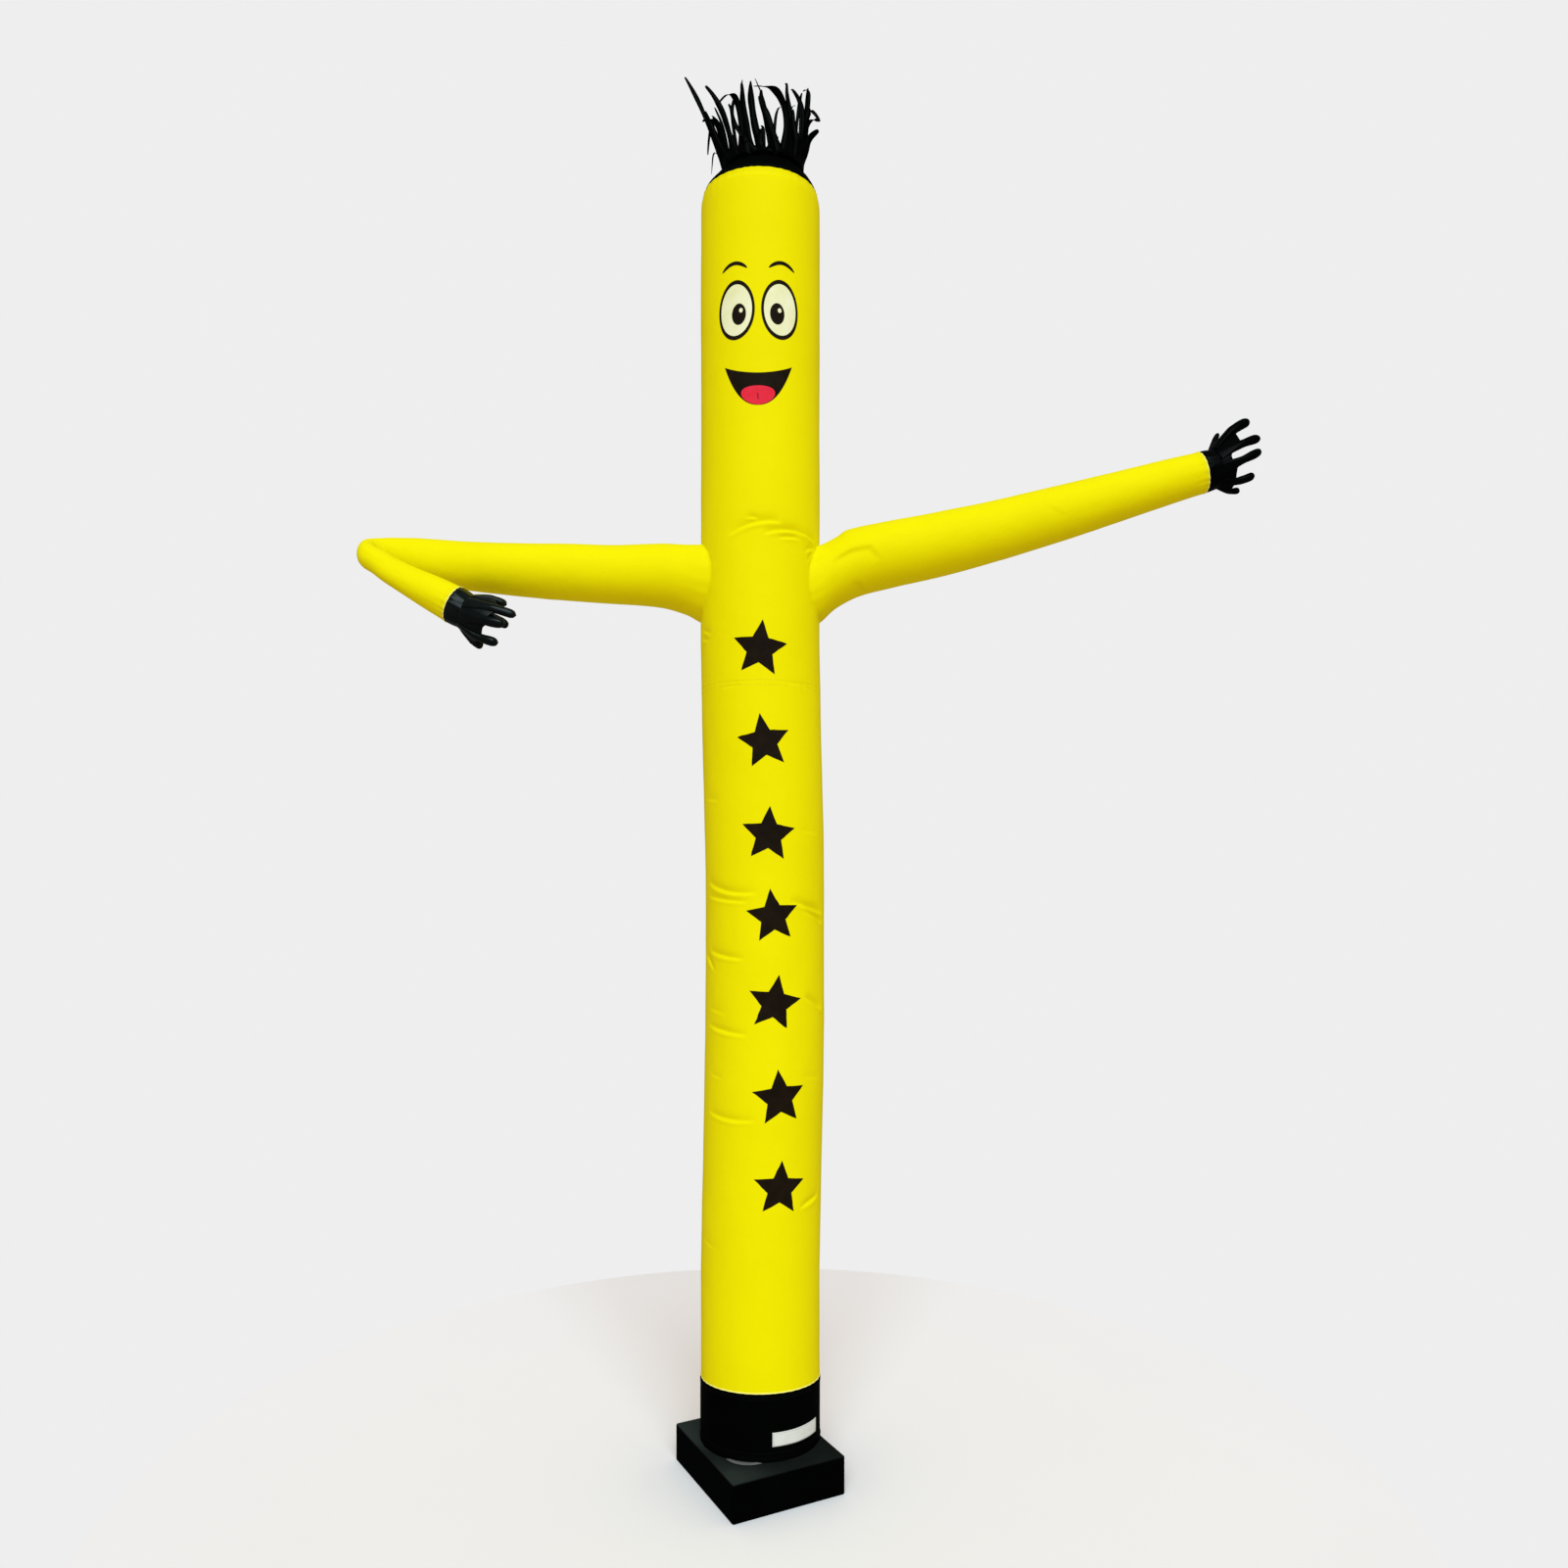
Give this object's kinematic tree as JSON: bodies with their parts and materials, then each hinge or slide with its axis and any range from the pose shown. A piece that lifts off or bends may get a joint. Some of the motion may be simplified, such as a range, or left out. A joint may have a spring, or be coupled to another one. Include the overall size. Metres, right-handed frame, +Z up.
{
  "type": "inflatable air dancer with blower base",
  "caption": "Inflatable yellow air dancer: a tall cloth tube with a black fringe of hair, one arm raised and one folded, standing on a low black blower base.",
  "frame": {"origin": "underside of the blower base, under the axis of the tube", "axes": "+Z up along the tube, -Y the way the face looks, +X towards the raised arm"},
  "size_m": [1.9718, 0.387, 3.0641],
  "materials": {
    "yellow_nylon": "satin",
    "black_nylon": "satin",
    "housing": "matte",
    "label": "matte"
  },
  "bodies": {
    "root": {"blower_base": "housing", "base_sleeve": "black_nylon", "sleeve_label": "label", "tube_lower": "yellow_nylon", "tube_upper": "yellow_nylon", "crown_cap": "black_nylon", "hair_fringe": "black_nylon", "arm_raised": "yellow_nylon", "arm_folded": "yellow_nylon", "hand_raised": "black_nylon", "hand_folded": "black_nylon"}
  },
  "joints": []
}
